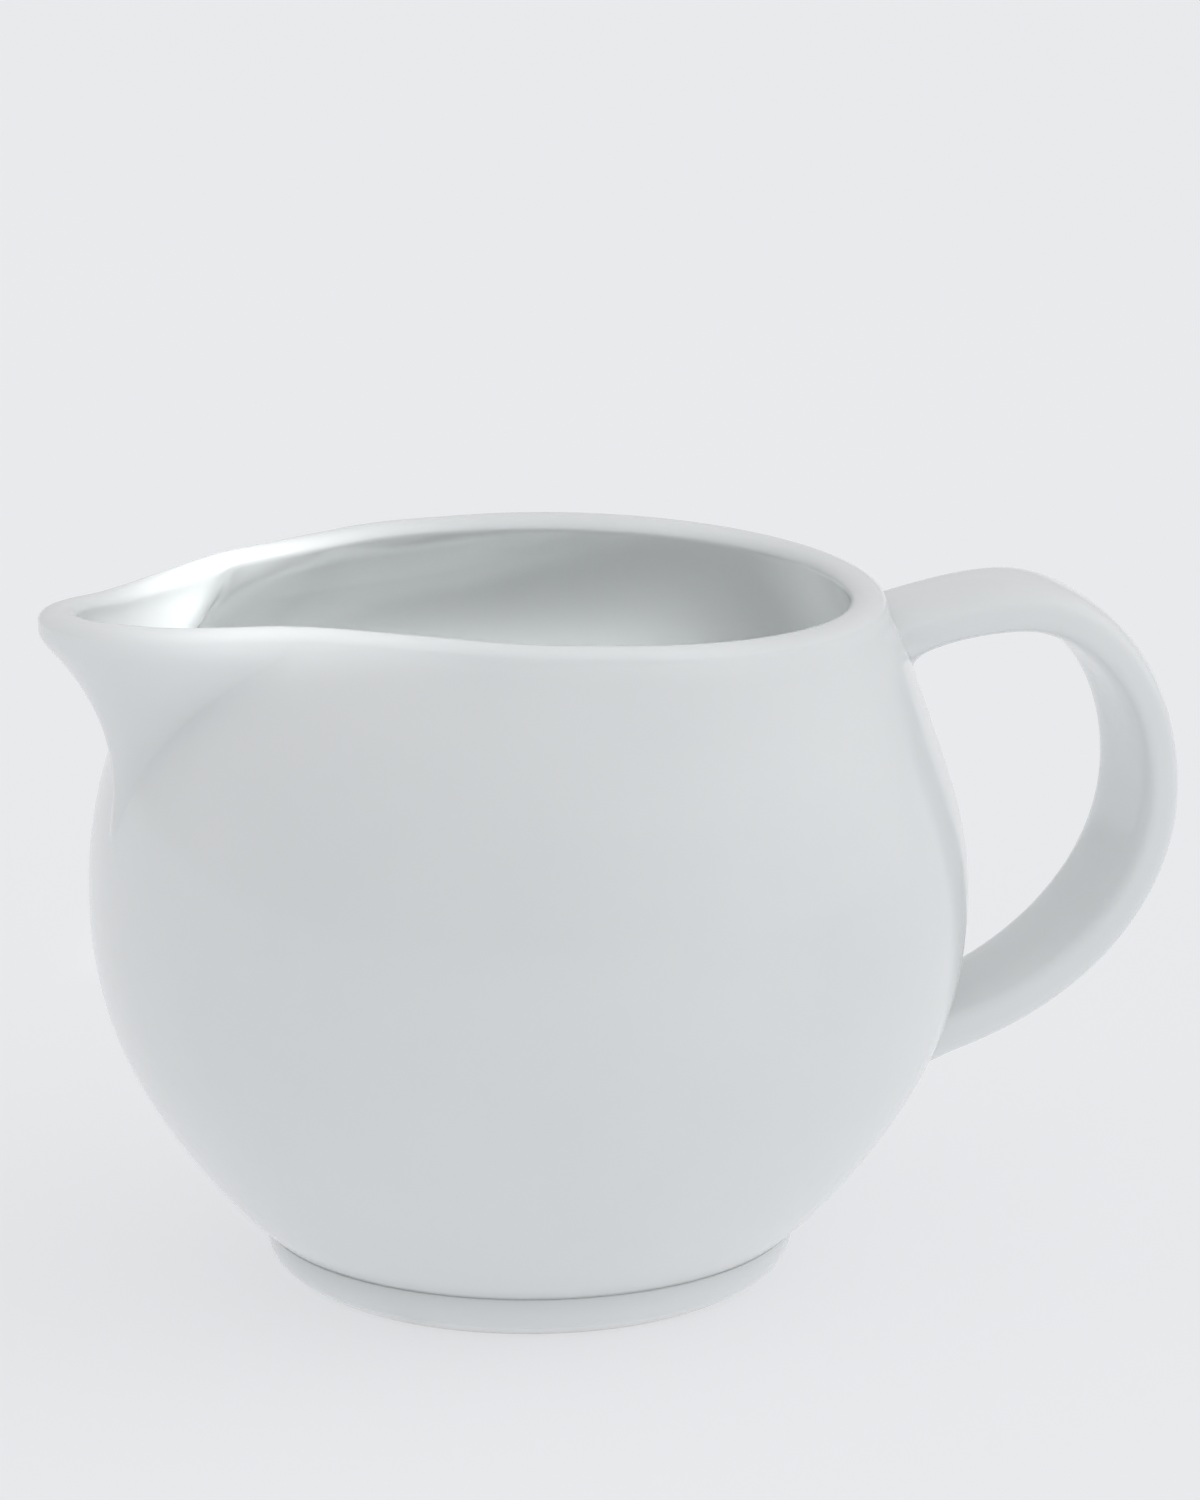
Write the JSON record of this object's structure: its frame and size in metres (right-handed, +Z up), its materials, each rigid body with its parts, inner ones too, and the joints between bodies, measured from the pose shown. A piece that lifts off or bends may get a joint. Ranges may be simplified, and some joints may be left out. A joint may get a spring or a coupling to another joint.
{
  "type": "milk jug",
  "caption": "Small globe-bodied ceramic milk jug with a pouring spout, an offset lipped mouth, a strap handle and a low foot ring.",
  "frame": {"origin": "centre of the foot ring's resting face, on the jug's upright axis", "axes": "+Z up out of the mouth, +X towards the handle, -X towards the spout"},
  "size_m": [0.1267, 0.095, 0.0778],
  "materials": {
    "glazed_porcelain": "glossy white glaze",
    "luting_slip": "glossy white glaze",
    "bare_clay": "matte, unglazed"
  },
  "bodies": {
    "root": {"bowl": "glazed_porcelain", "spout": "glazed_porcelain", "handle": "glazed_porcelain", "foot_ring": "glazed_porcelain", "spout_slip_seam": "luting_slip", "handle_upper_slip_joint": "luting_slip", "handle_lower_slip_joint": "luting_slip", "unglazed_foot_band": "bare_clay"}
  },
  "joints": []
}
